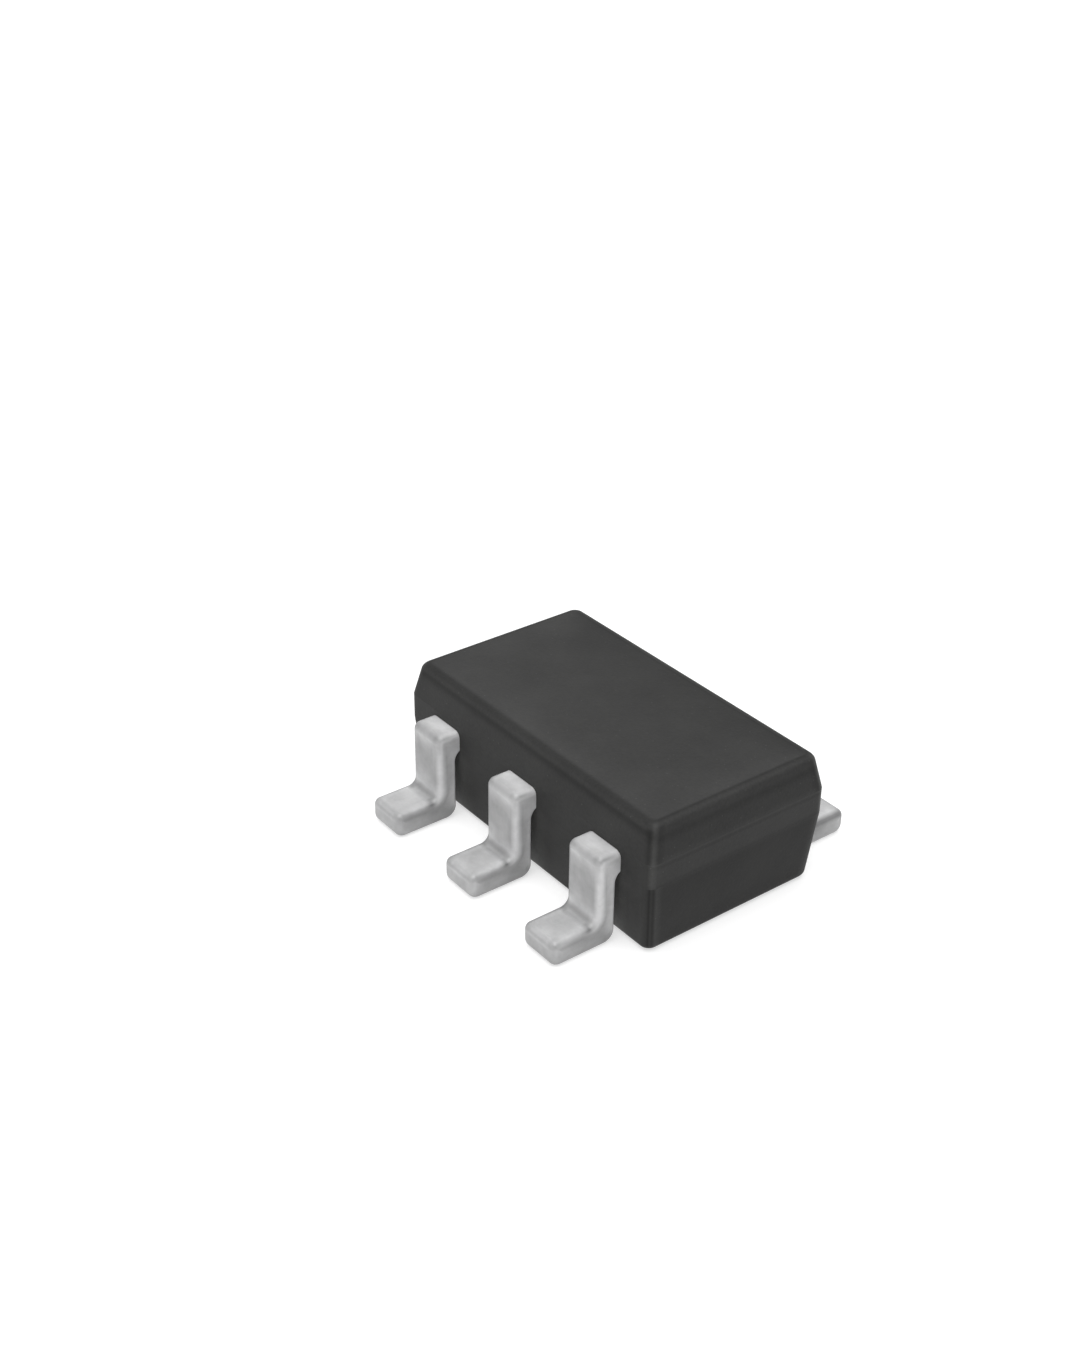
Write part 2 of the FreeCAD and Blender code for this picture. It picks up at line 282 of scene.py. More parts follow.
def makeSiliconMaterial():
    f = siliconFinish
    made, shader = newMaterial("silicon", {"IOR": f["ior"], "Coat Weight": f["coat"]})
    place = objectPlace(made)
    ground = ramp(made, noise(made, place, *f["ground"]), f["stops"])
    rows = addNode(made, "TexBrick", {
        "Vector": place, "Scale": f["trackPerMm"] / mm, "Mortar Size": f["trackWidth"],
        "Color1": (0, 0, 0, 1), "Color2": (0, 0, 0, 1), "Mortar": (1, 1, 1, 1)})
    wire(made, mixed(made, rows.outputs["Color"], ground, f["tracks"]), shader, "Base Color")
    rough = noise(made, place, *f["rough"])
    wire(made, remap(made, rough, f["roughLow"], f["roughHigh"]), shader, "Roughness")
    wire(made, bump(made, rows.outputs["Color"], f["trackHeight"]), shader, "Normal")
    return made


# the adhesive under the die and the wires
adhesiveFinish = {
    "stops": [(0.35, (0.33, 0.33, 0.32)), (0.65, (0.52, 0.52, 0.50))],
    "plain": {"Roughness": 0.6},
    "grain": (60, 4),
    "grainDepth": 0.003,
}
goldFinish = {
    "stops": [(0.3, (0.78, 0.52, 0.16)), (0.7, (0.90, 0.66, 0.27))],
    "plain": {"Metallic": 1.0, "Roughness": 0.28},
    "grain": (90, 4),
    "grainDepth": 0.0006,
}


def makeGrainMaterial(name, f):
    made, shader = newMaterial(name, f["plain"])
    grain = noise(made, objectPlace(made), *f["grain"])
    wire(made, ramp(made, grain, f["stops"]), shader, "Base Color")
    wire(made, bump(made, grain, f["grainDepth"]), shader, "Normal")
    return made


mouldMaterial = makeMouldMaterial()
tinMaterial = makeTinMaterial()
siliconMaterial = makeSiliconMaterial()
adhesiveMaterial = makeGrainMaterial("silverAdhesive", adhesiveFinish)
goldMaterial = makeGrainMaterial("goldWire", goldFinish)
print("materials are made")

inside = {"die": siliconMaterial, "die_attach": adhesiveMaterial}
inside.update({f"bond_wire_{number}": goldMaterial for number in range(1, 6)})
for node, material in inside.items():
    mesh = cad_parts[node].data
    mesh.materials.clear()
    mesh.materials.append(material)
print("sealed pieces have their finish")


# meshes

def addPiece(name, made, material, node):
    bmesh.ops.recalc_face_normals(made, faces=made.faces)
    mesh = bpy.data.meshes.new(name)
    made.to_mesh(mesh)
    made.free()
    piece = bpy.data.objects.new(name, mesh)
    bpy.context.scene.collection.objects.link(piece)
    mesh.materials.append(material)
    mesh.shade_smooth()
    weighted = piece.modifiers.new("flatFacesStayFlat", "WEIGHTED_NORMAL")
    weighted.weight = 100
    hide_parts(node)
    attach(piece, "root")


def roundCorner(before, corner, after, radius, steps):
    # the arc that rounds off one corner of a flat path
    fromHere = (Vector(before) - Vector(corner)).normalized()
    toThere = (Vector(after) - Vector(corner)).normalized()
    half = fromHere.angle(toThere) / 2
    centre = Vector(corner) + (fromHere + toThere).normalized() * radius / math.sin(half)
    start = Vector(corner) + fromHere * radius / math.tan(half) - centre
    end = Vector(corner) + toThere * radius / math.tan(half) - centre
    swing = -start.angle_signed(end)
    arc = []
    for i in range(steps + 1):
        turn = swing * i / steps
        arc.append(centre + Vector((start.x * math.cos(turn) - start.y * math.sin(turn),
                                    start.x * math.sin(turn) + start.y * math.cos(turn))))
    return arc


def rectangleCorners(halfLength, halfWidth, corner, steps):
    # the four corners of a rounded rectangle, counter-clockwise from +X +Y: the side of X 0 and of Y 0, the
    # arc's points, and the directions in which the outline comes in and goes on
    arcs = []
    for quarter, (sx, sy) in enumerate(((1, 1), (-1, 1), (-1, -1), (1, -1))):
        turns = [math.radians(90 * quarter + 90 * i / steps) for i in range(steps + 1)]
        points = [(sx * (halfLength - corner) + corner * math.cos(turn),
                   sy * (halfWidth - corner) + corner * math.sin(turn)) for turn in turns]
        comesIn, goesOn = (Vector((-math.sin(turn), math.cos(turn))) for turn in (turns[0], turns[-1]))
        arcs.append((sx, sy, points, comesIn, goesOn))
    return arcs


def addSkin(made, rings, paintedLightFactors=None):
    # a closed skin over rings of points, which all have the same number of points. The last argument gives
    # each point a factor on the material's colour: above 1 a painted highlight, below 1 painted shade
    layer = made.verts.layers.float.get("paintedLightTone") or made.verts.layers.float.new("paintedLightTone")
    loops = [[made.verts.new(Vector(p) * mm) for p in ring] for ring in rings]
    for k, loop in enumerate(loops):
        for i, vert in enumerate(loop):
            vert[layer] = paintedLightFactors[k][i] if paintedLightFactors else 1.0
    for low, high in zip(loops, loops[1:]):
        for i in range(len(low)):
            j = (i + 1) % len(low)
            made.faces.new((low[i], low[j], high[j], high[i]))
    made.faces.new(reversed(loops[0]))
    made.faces.new(loops[-1])


def between(table, place):
    # the value at a place in a table of rising places and their values
    if place <= table[0][0]:
        return table[0][1]
    for (before, low), (after, high) in zip(table, table[1:]):
        if place <= after:
            return low + (high - low) * (place - before) / (after - before)
    return table[-1][1]


def clamp(share):
    return min(max(share, 0), 1)


def drawnIn(outline, by):
    # a counter-clockwise outline with every side moved inwards by the same amount
    moved = []
    count = len(outline)
    for i in range(count):
        before, here, after = (Vector(outline[k % count]) for k in (i - 1, i, i + 1))
        first, second = (here - before).normalized(), (after - here).normalized()
        firstIn, secondIn = Vector((-first.y, first.x)), Vector((-second.y, second.x))
        moved.append(here + (firstIn + secondIn) * by / (1 + firstIn.dot(secondIn)))
    return moved


def addSlab(made, outline, low, high, edge, place):
    # a plate with slightly broken edges; place turns (a, b, level) into (x, y, z)
    small = drawnIn(outline, edge)
    layers = ((small, low), (outline, low + edge), (outline, high - edge), (small, high))
    addSkin(made, [[place(a, b, level) for a, b in flat] for flat, level in layers])


# the moulded body: a straight band at the parting plane between two drafted halves
body = {
    "bottom": 0.002,
    "bandLow": 0.585,
    "bandHigh": 0.785,
    "top": 1.06,
    "lowerInset": 0.051,  # how far the underside's edge lies inside the band
    "upperInset": 0.056,  # how far the top's edge lies inside the band
    "undersideInset": 0.3,  # where the underside's last loop lies
    "topInset": 0.6,  # where the top's last loop lies
    "cornerRadius": 0.075,
    "cornerShrink": 0.55,  # how much of a rounding's inset the corner radius loses
    "leastRadius": 0.004,
    "bottomRound": 0.068,
    "bandRound": 0.01,
    "topRound": 0.068,
    "topTurn": 1.37,  # radians that the top's rounding turns through
    # where the mesh has its points: counts in the roundings, and mm from their ends
    "arcSteps": 16,
    "bandSteps": 4,
    "beforeSteps": (0.01, 0.02, 0.035, 0.05, 0.075, 0.1, 0.13),
    "afterSteps": (0.01, 0.02, 0.035, 0.05),
    "topSteps": (0.01, 0.02, 0.035, 0.07, 0.14, 0.21, 0.28, 0.36, 0.44),
    # along an end side as shares of it, and along a long side in mm on both sides of each lead's middle
    "endShares": (0.15, 0.28, 0.42, 0.58, 0.72, 0.85),
    "leadSteps": (0.06, 0.1, 0.13, 0.16, 0.19, 0.22, 0.26, 0.31),
    "flatLength": 2.71,  # the long side between its corners
}

# Painted highlights and painted shade over the body, as factors on its colour. Top edges: mm from where the
# rounding starts on the top face, outwards and down. End wall: by height. Top face: mm from each of its
# sides.
# Corners: 0 to 1 round the corner from the long side to the end side, then mm on the flat. Beside a lead:
# painted light against the leg's shade, by mm from its middle along X, and how much of that counts, by height
bodyPaintedLight = {
    "longTopEdge": [(-0.035, 1), (-0.02, 0.96), (0, 0.76), (0.015, 0.67), (0.035, 0.72), (0.05, 0.82),
                    (0.066, 0.98), (0.08, 0.95), (0.093, 0.76), (0.107, 0.69), (0.125, 0.78),
                    (0.145, 0.92), (0.17, 0.98)],
    "endTopEdge": [(-0.035, 1), (-0.012, 1), (-0.004, 0.86), (0.008, 0.62), (0.015, 0.66), (0.022, 0.78),
                   (0.034, 0.96), (0.043, 1.07), (0.055, 1.07), (0.066, 1.01), (0.093, 1), (0.108, 0.97),
                   (0.125, 0.88), (0.14, 0.82), (0.155, 0.84), (0.175, 0.94), (0.2, 1)],
    "endWall": [(0.01, 1), (0.022, 1.1), (0.05, 0.9), (0.08, 0.79), (0.3, 0.72), (0.55, 0.69),
                (0.575, 0.74), (0.6, 0.93), (0.62, 1.02), (0.735, 1.07), (0.75, 0.92), (0.765, 0.95),
                (0.775, 1.1), (0.79, 1.21), (0.805, 1.13), (0.82, 1.06), (0.835, 1.03)],
    "frontTop": [(0, 1.01), (0.14, 0.94), (0.28, 0.88), (0.44, 0.84), (0.6, 0.8)],
    "rightTop": [(0, 0.98), (0.07, 0.94), (0.14, 0.88), (0.28, 0.82), (0.6, 0.8)],
    "backTop": [(0, 0.67), (0.28, 0.73), (0.6, 0.8)],
    "leftTop": [(0, 0.92), (0.28, 0.86), (0.6, 0.8)],
    "topBlend": 0.06,
    "besideLead": [(-0.45, 1), (-0.36, 0.93), (-0.24, 0.93), (-0.18, 1.4), (-0.1, 3), (0, 4.5),
                   (0.1, 4.9), (0.14, 3.4), (0.19, 2.1), (0.23, 1.5), (0.28, 1.22), (0.33, 1.07),
                   (0.4, 1)],
    "besideLeadHigh": [(0.004, 0), (0.02, 1), (0.52, 1), (0.62, 0)],
    "upperCorner": [(-0.02, 1.02), (0.07, 1), (0.14, 0.96), (0.21, 0.9), (0.34, 0.79), (0.4, 0.86),
                    (0.46, 0.96), (0.52, 1.16), (0.57, 1.36), (0.63, 1.46), (0.74, 1.32), (0.81, 1.12),
                    (0.87, 1), (0.93, 0.87), (1, 0.8), (1.01, 0.81), (1.035, 0.86), (1.05, 0.93)],
    "bandCorner": [(-0.02, 1.03), (0.32, 1.05), (0.42, 1.25), (0.52, 1.5), (0.62, 1.65), (0.73, 1.5),
                   (0.85, 1.35), (0.95, 1.1), (1, 1.05), (1.03, 1)],
    "lowerCorner": [(-0.05, 1.04), (0, 1.07), (0.25, 1.04), (0.38, 1), (0.44, 0.84), (0.5, 0.7),
                    (0.56, 0.98), (0.62, 1.14), (0.68, 1), (0.74, 0.86), (0.8, 1.05), (0.87, 1.32),
                    (0.93, 1.5), (1, 1.42), (1.012, 1.3), (1.03, 1.18), (1.05, 1.04)],
}


def bodySide():
    # the wall from the underside to the top: inset from the band, height, and mm before or after the start
    # of the top's rounding
    corners = [(body["undersideInset"], body["bottom"]), (body["lowerInset"], body["bottom"]),
               (0, body["bandLow"]), (0, body["bandHigh"]),
               (body["upperInset"], body["top"]), (body["topInset"], body["top"])]
    rounds = [("bottomRound", "arcSteps", (), body["afterSteps"]),
              ("bandRound", "bandSteps", body["beforeSteps"], body["afterSteps"]),
              ("bandRound", "bandSteps", body["beforeSteps"], body["afterSteps"]),
              ("topRound", "arcSteps", body["beforeSteps"], body["topSteps"])]
    side = [Vector(corners[0])]
    for i, (rounding, steps, stepsBefore, stepsAfter) in enumerate(rounds):
        before, corner, after = (Vector(c) for c in corners[i:i + 3])
        arc = roundCorner(before, corner, after, body[rounding], body[steps])
        down, up = (before - corner).normalized(), (after - corner).normalized()
        side += [arc[0] + down * step for step in reversed(stepsBefore)]
        side += arc
        side += [arc[-1] + up * step for step in stepsAfter]
    side.append(Vector(corners[-1]))
    places, run = [0], 0
    for here, following in zip(side, side[1:]):
        run += (following - here).length
        places.append(run)
    topStart = places[side.index(arc[-1])]
    return [(point.x, point.y, topStart - place) for point, place in zip(side, places)]


def flatShares(onLongSide, sideY):
    # where a flat side has its points, as shares of its length. The long sides have most beside the leads
    if not onLongSide:
        return body["endShares"]
    steps = [way * step for way in (-1, 1) for step in body["leadSteps"]]
    return sorted(0.5 + (middle + step) / body["flatLength"] for middle in leadRows[sideY] for step in steps)


def bodyLoop(halfLength, halfWidth, corner):
    # once round the body at one height: X, Y and the place across the corner, 0 at its long side, 1 at its
    # end side, and mm before or after that on the flats
    near, steps = body["afterSteps"], body["arcSteps"]
    loop = []
    for sx, sy, points, comesIn, goesOn in rectangleCorners(halfLength, halfWidth, corner, steps):
        fromLong = sx != sy
        (firstX, firstY), (lastX, lastY) = points[0], points[-1]
        straight = 2 * ((halfWidth if fromLong else halfLength) - corner)
        onwards = [(step, 1 + step) for step in near]
        onwards += [(straight * share, 1 + near[-1]) for share in flatShares(not fromLong, sy)]
        across = [(firstX - comesIn.x * step, firstY - comesIn.y * step, -step) for step in reversed(near)]
        across += [(*point, i / steps) for i, point in enumerate(points)]
        across += [(lastX + goesOn.x * step, lastY + goesOn.y * step, place) for step, place in onwards]
        loop += [(x, y, place if fromLong else 1 - place) for x, y, place in across]
    return loop


def paintedTopShading(sides):
    # the top face's painted shading from the distances to its four sides: the nearer a side is, the more it
    # counts
    weights = [(away + bodyPaintedLight["topBlend"]) ** -2 for away in sides.values()]
    paintedLightFactors = [between(bodyPaintedLight[side], away) for side, away in sides.items()]
    return sum(weight * tone for weight, tone in zip(weights, paintedLightFactors)) / sum(weights)


def paintedLightBesideLeg(x, y, level):
    # the leg shades the wall beside and behind it, and painted light lifts the wall there against that shade
    beside = min((x - middle for middle in leadRows[1 if y > 0 else -1]), key=abs)
    return 1 + (between(bodyPaintedLight["besideLead"], beside) - 1) * between(bodyPaintedLight["besideLeadHigh"], level)


def makeBody():
    low, high = (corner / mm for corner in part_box("mould_body"))
    halfLength, halfWidth = (high.x - low.x) / 2, (high.y - low.y) / 2
    lowerHeight, upperHeight = body["bandLow"] - body["bottom"], body["top"] - body["bandHigh"]
    roundLength = body["topRound"] * body["topTurn"]
    rings, paintedLightFactors = [], []
    for inset, level, place in bodySide():
        if level < body["bandLow"]:
            straight = body["lowerInset"] * (body["bandLow"] - level) / lowerHeight
            corner = bodyPaintedLight["lowerCorner"]
        else:
            straight = body["upperInset"] * max(level - body["bandHigh"], 0) / upperHeight
            corner = bodyPaintedLight["upperCorner" if level > body["bandHigh"] else "bandCorner"]
        shrink = body["cornerShrink"] * max(inset - straight, 0)
        radius = max(body["cornerRadius"] - shrink, body["leastRadius"])
        # painted highlights and painted shade over the top edges and down the walls, the end wall's also by
        # height
        paintedLongSideLight = between(bodyPaintedLight["longTopEdge"], place)
        paintedEndSideLight = between(bodyPaintedLight["endTopEdge"], place)
        if place > 0:
            paintedEndSideLight *= between(bodyPaintedLight["endWall"], level)
        rings.append([])
        paintedLightFactors.append([])
        for x, y, across in bodyLoop(halfLength - inset, halfWidth - inset, radius):
            tone = paintedLongSideLight + (paintedEndSideLight - paintedLongSideLight) * clamp(across)
            # on the top face, painted shading by the distance from its sides
            if place < 0:
                topLength, topWidth = halfLength - inset - place, halfWidth - inset - place
                tone *= paintedTopShading({"frontTop": topWidth + y, "backTop": topWidth - y,
                                 "rightTop": topLength - x, "leftTop": topLength + x})
            # painted highlights and painted dark lines round the corners, coming in over the top's rounding
            paintedCornerLight = 1 + (between(corner, across) - 1) * clamp(place / roundLength)
            rings[-1].append((x, y, level))
            paintedLightFactors[-1].append(tone * paintedLightBesideLeg(x, y, level) * paintedCornerLight)
    made = bmesh.new()
    addSkin(made, rings, paintedLightFactors)
    addPiece("mouldedBody", made, mouldMaterial, "mould_body")


makeBody()
print("body is made")


# the leads: shoulder, leg and foot outside, a flat finger inside
lead = {
    "width": 0.355,
    "thickness": 0.155,
    "footThickness": 0.2,
    "high": 0.74,
    "legFront": 1.008,
    "tip": 1.385,
    "shoulderRound": 0.06,
    "armpitRound": 0.085,
    "instepRound": 0.06,
    "heelRound": 0.09,
    "tipRound": 0.055,
    "toeRound": 0.066,
    "leastRound": 0.002,
    "edgeRound": 0.052,
    "backEdgeRound": 0.018,
    # where the mesh has its points: flat strips beside the edges' roundings, in mm, and counts
    "flatStep": 0.04,
    "frameStep": 0.012,
    "sideStep": 0.024,
    "backSideStep": 0.01,
    "straightSteps": 7,
    "bendSteps": 12,
    "edgeSteps": 8,
    # inside the body
    "rootDepth": 0.1,
    "rootLap": 0.05,
    "notchDepth": 0.06,
    "notchStart": 0.18,
    "notchLength": 0.12,
    "fingerReach": 0.31,
    "tipGap": 0.2,
    "punchedEdge": 0.006,
}

# Painted highlights and painted shade over the outer lead, painted shade in its creases among them, as
# factors on the tin's colour, by the place round its outline: 0 to 1 on the shoulder, 1 to 2 round its bend,
# 2 to 3 down the leg, 3 to 4 round the instep, 4 to 5 along the foot, 5 to 6 over its edge, 6 to 7 down the
# tip, 7 to 8 round the toe, 8 to 9 under the foot, 9 to 10 round the heel, 10 to 11 up the leg's back, 11 to
# 12 round the armpit and 12 to 13 under the shoulder. Each table is a line along the lead, from its middle to
# its side
leadPaintedLight = {
    "middle": [(0.5, 1.3), (0.8, 1.34), (0.88, 1.32), (0.95, 1.19), (1, 1.08), (1.16, 0.86), (1.3, 0.78),
               (1.5, 0.79), (1.65, 0.87), (1.8, 1), (2, 1.32), (2.04, 1.38), (2.1, 1.16), (2.17, 0.9),
               (2.25, 0.83), (2.5, 0.9), (2.75, 0.98), (2.83, 1.08), (2.91, 1.24), (3, 1.4), (3.12, 1.27),
               (3.22, 1), (3.35, 0.75), (3.5, 0.6), (3.65, 0.6), (3.8, 0.74), (3.95, 0.86), (4, 0.86),
               (4.05, 1), (4.1, 1.12), (4.2, 1.03), (4.4, 0.97), (4.8, 0.96), (5, 0.97), (5.15, 0.86),
               (5.3, 0.78), (5.45, 0.93), (5.55, 0.98), (5.7, 0.86), (5.8, 0.92), (5.9, 1.1), (6, 1.17),
               (6.15, 1.05), (6.3, 1), (9, 1)],
    "frame": [(0.5, 1.3), (0.8, 1.34), (1, 1.1), (1.16, 0.9), (1.3, 0.74), (1.5, 0.66), (1.7, 0.84),
              (2, 1.28), (2.08, 1.16), (2.2, 0.97), (2.35, 0.9), (2.6, 0.91), (2.8, 0.98), (2.9, 1.18),
              (3, 1.42), (3.15, 1.25), (3.3, 0.95), (3.5, 0.66), (3.7, 0.6), (3.9, 0.62), (4, 0.72),
              (4.06, 1.06), (4.12, 1.2), (4.3, 1.1), (4.75, 1.06), (5, 0.9), (5.15, 0.76), (5.4, 0.76),
              (5.7, 0.82), (5.85, 0.96), (6, 1.12), (6.2, 1.06), (9, 1)],
    "nearEdge": [(0, 1.4), (0.6, 1.35), (0.78, 1), (0.92, 0.74), (1.3, 0.64), (1.5, 0.74), (1.7, 1),
                 (2, 1.2), (2.2, 1.36), (2.4, 1.52), (2.9, 1.52), (3.2, 1.42), (3.5, 1.1), (3.75, 0.7),
                 (3.92, 0.4), (4.02, 0.38), (4.1, 0.6), (4.2, 0.94), (4.5, 1), (4.8, 0.94), (5, 0.76),
                 (5.5, 0.7), (6, 1), (7, 1.12), (8, 0.95), (9, 0.68), (9.6, 0.72), (10, 1.2), (12, 1.5)],
    "farEdge": [(0, 1.1), (1, 0.9), (1.5, 0.5), (2, 0.6), (2.4, 0.54), (3, 0.6), (3.5, 0.5), (4, 0.46),
                (5, 0.46), (6, 0.6), (7, 0.75), (8, 1), (10, 1.3), (12, 1.5)],
    "rim": [(0, 1.45), (1.5, 1.3), (2.2, 1.58), (3, 1.56), (3.5, 1.3), (3.8, 1), (4, 0.8), (4.3, 0.84),
            (5, 0.9), (5.5, 0.92), (6, 1.1), (7, 1.12), (8, 0.95), (9, 0.68), (9.6, 0.74), (10, 1.3),
            (12, 1.6)],
    "side": [(0, 1.5), (1.5, 1.55), (2.2, 1.6), (3, 1.55), (3.5, 1), (4, 0.74), (4.3, 0.68), (4.6, 0.72),
             (5, 0.84), (5.5, 0.95), (6, 1.08), (8, 0.95), (9, 0.72), (9.5, 0.78), (10, 1.4),
             (10.3, 1.75), (12, 1.65)],
    "sideLine": [(0, 1.6), (1.5, 1.65), (2.1, 1.48), (2.3, 1.28), (3, 1.2), (3.5, 0.82), (4, 0.72),
                 (4.3, 0.76), (4.6, 0.86), (5, 0.97), (6, 1.05), (8, 0.95), (9, 0.72), (9.5, 0.78),
                 (10, 1.4), (10.3, 1.78), (12, 1.75)],
}

# the plate under the die, one stamping with the middle lead
diePad = {
    "length": 1.02,
    "width": 0.82,
    "corner": 0.06,
    "cornerSteps": 6,
    "low": 0.445,
    "high": 0.6,
    "slope": 0.14,
    "slopeShift": 0.0642,
    "neckEnd": 0.3,
}


def straightSteps(start, end):
    # points on the way between two others, with their places
    x, y, place = start
    steps = lead["straightSteps"]
    return [(x + (end[0] - x) * k / steps, y + (end[1] - y) * k / steps, place + k / steps)
            for k in range(1, steps)]


def wingOutline(root, drawn, backDrawn):
    # the outer lead from the side, drawn in all round: distance from the body's middle, height, place
    back, face = lead["legFront"] - lead["thickness"], lead["legFront"]
    high, low = lead["high"], lead["high"] - lead["thickness"]
    foot, tip = lead["footThickness"], lead["tip"]
    corners = [(root, high - drawn), (face - drawn, high - drawn), (face - drawn, foot - drawn),
               (tip - drawn, foot - drawn), (tip - drawn, drawn), (back + backDrawn, drawn),
               (back + backDrawn, low + backDrawn), (root, low + backDrawn)]
    rounds = [(lead["shoulderRound"], drawn), (lead["instepRound"], -drawn), (lead["tipRound"], drawn),
              (lead["toeRound"], drawn / 2), (lead["heelRound"], backDrawn),
              (lead["armpitRound"], -backDrawn)]
    path = [(*corners[0], 0)]
    for i, (rounding, less) in enumerate(rounds):
        arc = roundCorner(*corners[i:i + 3], max(rounding - less, lead["leastRound"]), lead["bendSteps"])
        path += straightSteps(path[-1], arc[0])
        path += [(*point, 2 * i + 1 + k / lead["bendSteps"]) for k, point in enumerate(arc)]
    return path + straightSteps(path[-1], corners[-1]) + [(*corners[-1], 2 * len(rounds) + 1)]


def edgeTables(share):
    # the two tables of painted light and shade whose values meet at a share of the way over an edge, and the
    # second one's part
    if share <= 0.5:
        return "frame", "edge", 2 * share
    if share <= 0.75:
        return "edge", "rim", 4 * share - 2
    return "rim", "side", 4 * share - 3


def addWing(made, root):
    half, edge, backEdge = lead["width"] / 2, lead["edgeRound"], lead["backEdgeRound"]
    # across the lead, from its middle to its side: how far in from the side, and how far the outline is
    # drawn in, each also for the leg's back, whose edges are rounded off less; then the tables of painted
    # light and shade
    across = [(half, half, 0, 0, "middle", "middle", 0),
              (edge + lead["flatStep"], edge + lead["flatStep"], 0, 0, "middle", "middle", 0),
              (edge + lead["frameStep"], edge + lead["frameStep"], 0, 0, "frame", "frame", 0)]
    for i in range(lead["edgeSteps"] + 1):
        share = i / lead["edgeSteps"]
        turn = math.radians(90 * share)
        sideways, inwards = 1 - math.sin(turn), 1 - math.cos(turn)
        across.append((edge * sideways, backEdge * sideways, edge * inwards, backEdge * inwards,
                       *edgeTables(share)))
    across.append((0, 0, edge + lead["sideStep"], backEdge + lead["backSideStep"],
                   "sideLine", "sideLine", 0))
    both = [(-1, *ring) for ring in reversed(across[1:])] + [(1, *ring) for ring in across]
    rings, paintedLightFactors = [], []
    for way, short, backShort, drawn, backDrawn, first, second, share in both:
        flank = {"edge": "nearEdge"} if way > 0 else {"edge": "farEdge", "rim": "farEdge"}
        rings.append([])
        paintedLightFactors.append([])
        for out, level, place in wingOutline(root, drawn, backDrawn):
            behind = clamp(place - 9)  # 0 on the front, 1 on the back, and the heel's bend leads over
            rings[-1].append((way * (half - short - (backShort - short) * behind), -out, level))
            # painted highlights and painted shade at this place on the lead
            low, high = (between(leadPaintedLight[flank.get(name, name)], place) for name in (first, second))
            paintedLightFactors[-1].append(low + (high - low) * share)
    addSkin(made, rings, paintedLightFactors)


def addFinger(made, wall, towardsMiddle):
    half, notch = lead["width"] / 2, lead["width"] / 2 - lead["notchDepth"]
    start, end, reach = lead["rootDepth"] - wall, -lead["tipGap"] / 2, lead["fingerReach"]
    out, back = lead["notchStart"] - wall, lead["notchStart"] + lead["notchLength"] - wall
    outline = [(-half, start), (half, start), (half, out), (notch, out), (notch, back), (reach, back),
               (reach, end), (-half, end), (-half, back), (-notch, back), (-notch, out), (-half, out)]
    if towardsMiddle < 0:
        outline = [(-x, y) for x, y in reversed(outline)]
    addSlab(made, outline, lead["high"] - lead["thickness"], lead["high"], lead["punchedEdge"],
            lambda x, y, level: (x, y, level))


def addDiePad(made, wall):
    high, low, half = lead["high"], lead["high"] - lead["thickness"], lead["width"] / 2
    edge, root = diePad["width"] / 2, lead["rootDepth"] - wall
    slopeEnd = -edge - diePad["slopeShift"]
    side = [(root, low), (slopeEnd - diePad["slope"], low), (slopeEnd, diePad["low"]),
            (-diePad["neckEnd"], diePad["low"]), (-diePad["neckEnd"], diePad["high"]),
            (-edge, diePad["high"]), (-edge - diePad["slope"], high), (root, high)]
    addSlab(made, side, -half, half, lead["punchedEdge"], lambda y, z, x: (x, y, z))
    arcs = rectangleCorners(diePad["length"] / 2, edge, diePad["corner"], diePad["cornerSteps"])
    addSlab(made, [point for arc in arcs for point in arc[2]], diePad["low"], diePad["high"],
            lead["punchedEdge"], lambda x, y, level: (x, y, level))


def makeLead(name, node, sideX, sideY):
    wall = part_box("mould_body")[1].y / mm
    made = bmesh.new()
    addWing(made, wall - lead["rootDepth"] - lead["rootLap"])
    if sideX:
        addFinger(made, wall, sideX * sideY)
    else:
        addDiePad(made, wall)
    if sideY > 0:
        made.transform(Matrix.Rotation(math.pi, 4, "Z"))
    made.transform(Matrix.Translation((sideX * leadPitch * mm, 0, 0)))
    addPiece(name, made, tinMaterial, node)


makeLead("formedLead1", "lead_1", -1, -1)
makeLead("formedLead2", "lead_2_die_pad", 0, -1)
makeLead("formedLead3", "lead_3", 1, -1)
makeLead("formedLead4", "lead_4", 1, 1)
makeLead("formedLead5", "lead_5", -1, 1)
print("leads are made")


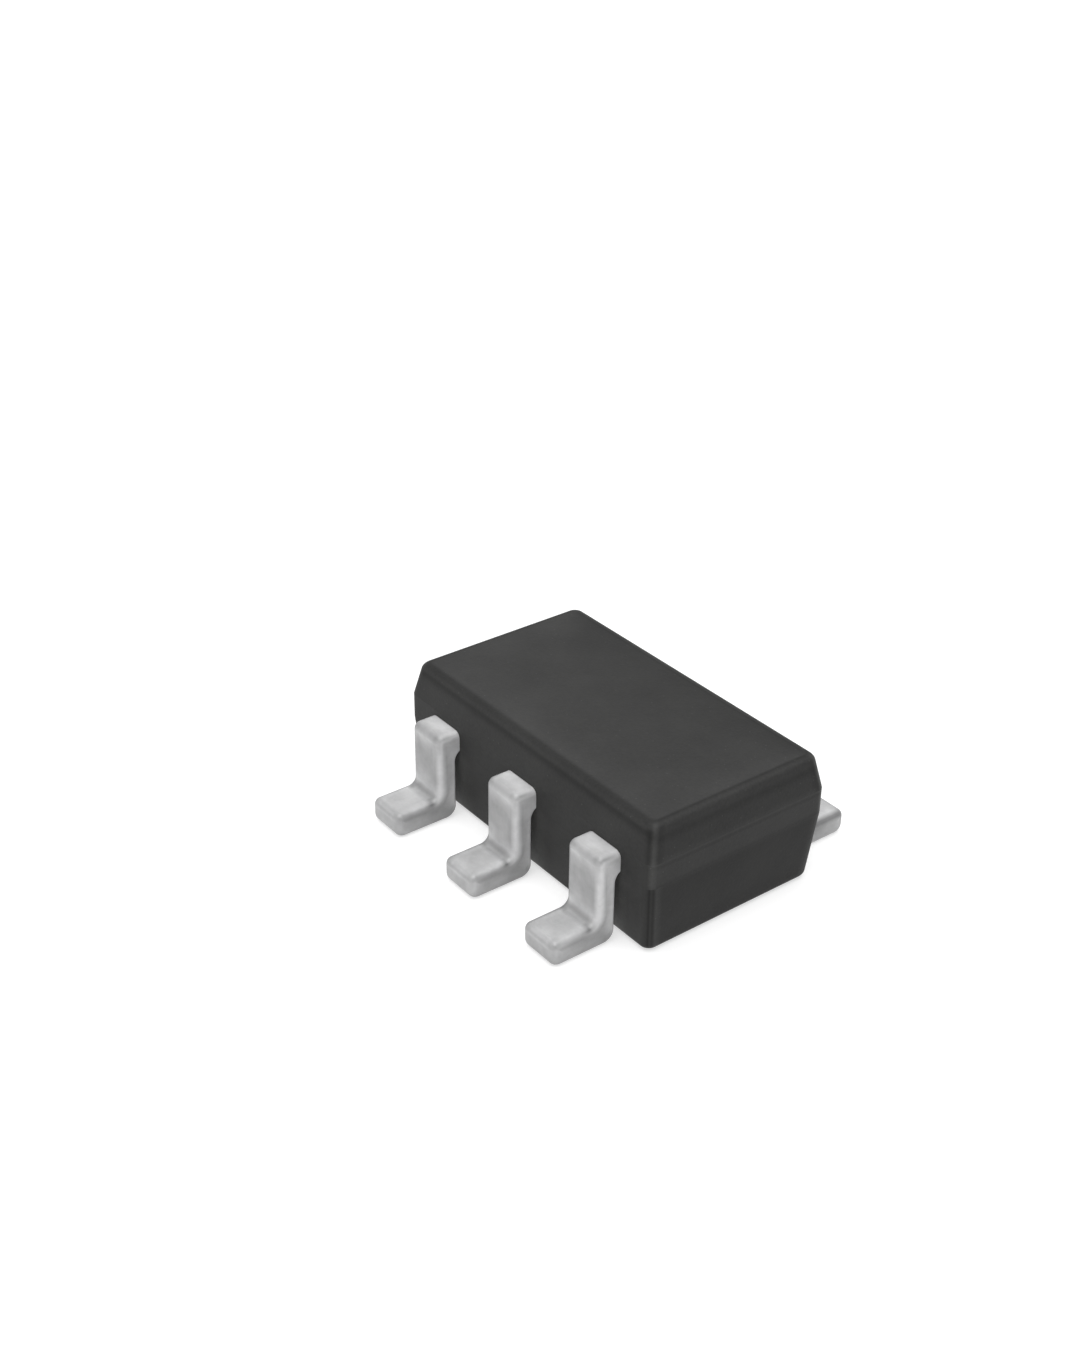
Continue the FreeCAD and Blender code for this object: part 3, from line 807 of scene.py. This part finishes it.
# a white floor with a soft shadow, and a white room
stage = {
    "floorSize": 600,
    "floorHeight": -0.001,
    "floorTone": 0.54,
    "floorRoughness": 0.9,
    "floorGlow": 0.6,
    "roomFill": 0.45,
}


def makeFloor():
    made = bmesh.new()
    bmesh.ops.create_grid(made, x_segments=1, y_segments=1, size=stage["floorSize"] / 2 * mm)
    mesh = bpy.data.meshes.new("floor")
    made.to_mesh(mesh)
    made.free()
    floor = bpy.data.objects.new("floor", mesh)
    floor.location.z = stage["floorHeight"] * mm
    bpy.context.scene.collection.objects.link(floor)
    paper, shader = newMaterial("whitePaper", {
        "Base Color": (stage["floorTone"],) * 3 + (1,), "Roughness": stage["floorRoughness"],
        "Specular IOR Level": 0.0, "Emission Color": (1, 1, 1, 1)})
    glow = combine(paper, "MULTIPLY", seenDirectly(paper), stage["floorGlow"])
    wire(paper, glow, shader, "Emission Strength")
    mesh.materials.append(paper)


def makeRoom():
    room = bpy.data.worlds.new("whiteRoom")
    room.use_nodes = True
    bpy.context.scene.world = room
    background = room.node_tree.nodes["Background"]
    background.inputs["Color"].default_value = (1, 1, 1, 1)
    wire(room, remap(room, seenDirectly(room), stage["roomFill"], 1.0), background, "Strength")


# azimuth and elevation as the camera's; level 1 lights white paper that faces the lamp fully
lamps = {
    "overhead": {"azimuth": 25, "elevation": 80, "spread": 60, "level": 0.72},
    "back": {"azimuth": 215, "elevation": 45, "spread": 60, "level": 0.05},
}
lampDistance = 40


def makeLamps():
    for name, lamp in lamps.items():
        back = outwards(lamp["azimuth"], lamp["elevation"])
        light = bpy.data.lights.new(name + "Lamp", "SUN")
        light.angle = math.radians(lamp["spread"])
        light.energy = lamp["level"] * math.pi
        holder = bpy.data.objects.new(name + "Lamp", light)
        holder.location = back * lampDistance * mm
        holder.rotation_mode = "QUATERNION"
        holder.rotation_quaternion = back.to_track_quat("Z", "Y")
        bpy.context.scene.collection.objects.link(holder)


makeFloor()
makeRoom()
makeLamps()
bpy.context.scene.view_settings.view_transform = "Standard"
print("stage and lamps are set")
